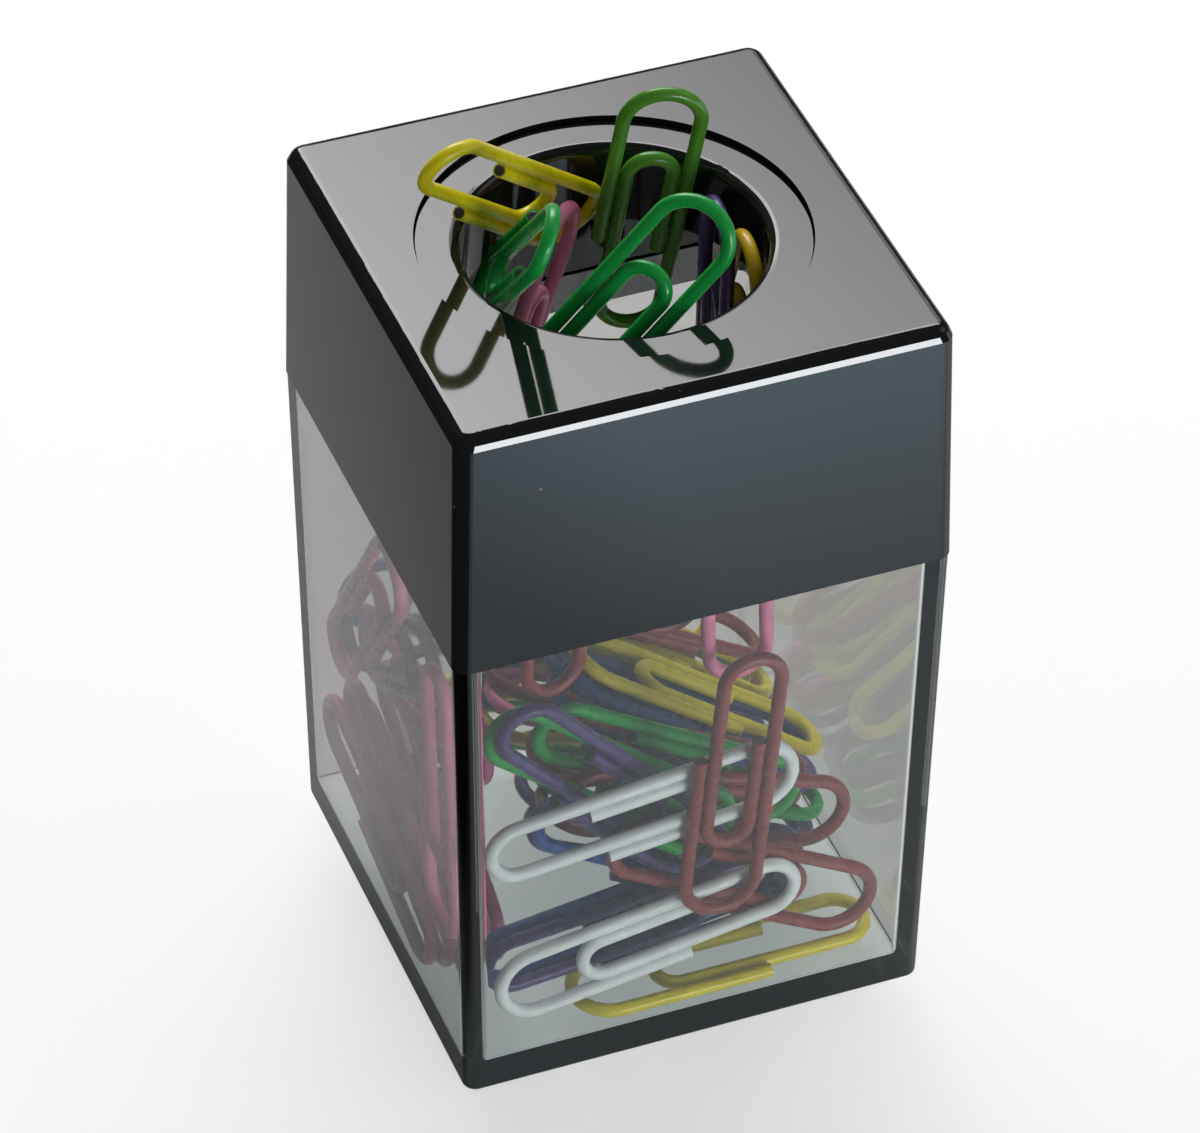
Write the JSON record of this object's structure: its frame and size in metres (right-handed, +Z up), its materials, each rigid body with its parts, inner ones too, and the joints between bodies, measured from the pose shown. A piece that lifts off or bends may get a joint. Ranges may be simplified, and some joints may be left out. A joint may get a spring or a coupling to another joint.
{
  "type": "magnetic paper clip holder",
  "caption": "Square clear tumbler with a lift-off black lid; a ring magnet round the lid's mouth holds coated wire paper clips that stand in it, over a heap of clips inside.",
  "frame": {"origin": "centre of the tumbler's underside, on the surface it stands on", "axes": "+Z up through the mouth, +X to the right along the front wall, +Y to the back"},
  "size_m": [0.043, 0.043, 0.0828],
  "materials": {
    "clear_plastic": "clear polished",
    "black_plastic": "high gloss",
    "ferrite": "matt sintered",
    "yellow_coat": "glossy vinyl coat",
    "amber_coat": "glossy vinyl coat",
    "leaf_green_coat": "glossy vinyl coat",
    "green_coat": "glossy vinyl coat",
    "white_coat": "glossy vinyl coat",
    "red_coat": "glossy vinyl coat",
    "pink_coat": "glossy vinyl coat",
    "mauve_coat": "glossy vinyl coat",
    "purple_coat": "glossy vinyl coat",
    "blue_coat": "glossy vinyl coat"
  },
  "bodies": {
    "tumbler": {"tumbler": "clear_plastic", "clip_blue_back": "blue_coat", "clip_blue_front": "blue_coat", "clip_blue_low": "blue_coat", "clip_blue_middle_1": "blue_coat", "clip_blue_middle_2": "blue_coat", "clip_blue_top_1": "blue_coat", "clip_blue_top_2": "blue_coat", "clip_blue_top_3": "blue_coat", "clip_green_back": "green_coat", "clip_green_front": "green_coat", "clip_green_middle_1": "green_coat", "clip_green_middle_2": "green_coat", "clip_green_slanting": "green_coat", "clip_green_top": "green_coat", "clip_mauve_high": "mauve_coat", "clip_mauve_left_1": "mauve_coat", "clip_mauve_left_2": "mauve_coat", "clip_mauve_left_3": "mauve_coat", "clip_mauve_left_4": "mauve_coat", "clip_pink_corner": "pink_coat", "clip_pink_left": "pink_coat", "clip_pink_middle": "pink_coat", "clip_purple_front": "purple_coat", "clip_purple_left": "purple_coat", "clip_purple_low": "purple_coat", "clip_purple_middle_1": "purple_coat", "clip_purple_middle_2": "purple_coat", "clip_purple_slanting": "purple_coat", "clip_red_back": "red_coat", "clip_red_front": "red_coat", "clip_red_leaning": "red_coat", "clip_red_middle_1": "red_coat", "clip_red_middle_2": "red_coat", "clip_red_right_high": "red_coat", "clip_red_right_low": "red_coat", "clip_red_top": "red_coat", "clip_white_lower": "white_coat", "clip_white_upper": "white_coat", "clip_yellow_back": "yellow_coat", "clip_yellow_floor": "yellow_coat", "clip_yellow_middle": "yellow_coat", "clip_yellow_top_1": "yellow_coat", "clip_yellow_top_2": "yellow_coat", "clip_yellow_top_3": "yellow_coat"},
    "lid": {"lid": "black_plastic", "mouth_ring": "black_plastic", "ring_magnet": "ferrite", "clip_amber_in_mouth": "amber_coat", "clip_pink_in_mouth": "pink_coat", "clip_pink_under_lid": "pink_coat", "clip_purple_in_mouth": "purple_coat", "clip_red_in_mouth": "red_coat", "clip_red_under_lid": "red_coat"},
    "clip_yellow_mouth": {"clip_yellow_mouth": "yellow_coat"},
    "clip_leaf_green_mouth": {"clip_leaf_green_mouth": "leaf_green_coat"},
    "clip_green_mouth_right": {"clip_green_mouth_right": "green_coat"},
    "clip_green_mouth_left": {"clip_green_mouth_left": "green_coat"}
  },
  "joints": [
    {"name": "lid_lift", "type": "slide", "parent": "tumbler", "child": "lid", "axis": [0, 0, 1], "range_m": [0, 0.045]},
    {"name": "yellow_mouth_pull", "type": "slide", "parent": "lid", "child": "clip_yellow_mouth", "axis": [-0.6268, -0.4244, 0.6534], "range_m": [0, 0.034]},
    {"name": "leaf_green_mouth_pull", "type": "slide", "parent": "lid", "child": "clip_leaf_green_mouth", "axis": [0.0812, -0.1914, 0.9781], "range_m": [0, 0.034]},
    {"name": "green_mouth_right_pull", "type": "slide", "parent": "lid", "child": "clip_green_mouth_right", "axis": [0.588, -0.1631, 0.7923], "range_m": [0, 0.034]},
    {"name": "green_mouth_left_pull", "type": "slide", "parent": "lid", "child": "clip_green_mouth_left", "axis": [-0.0058, -0.6678, 0.7443], "range_m": [0, 0.034]}
  ]
}
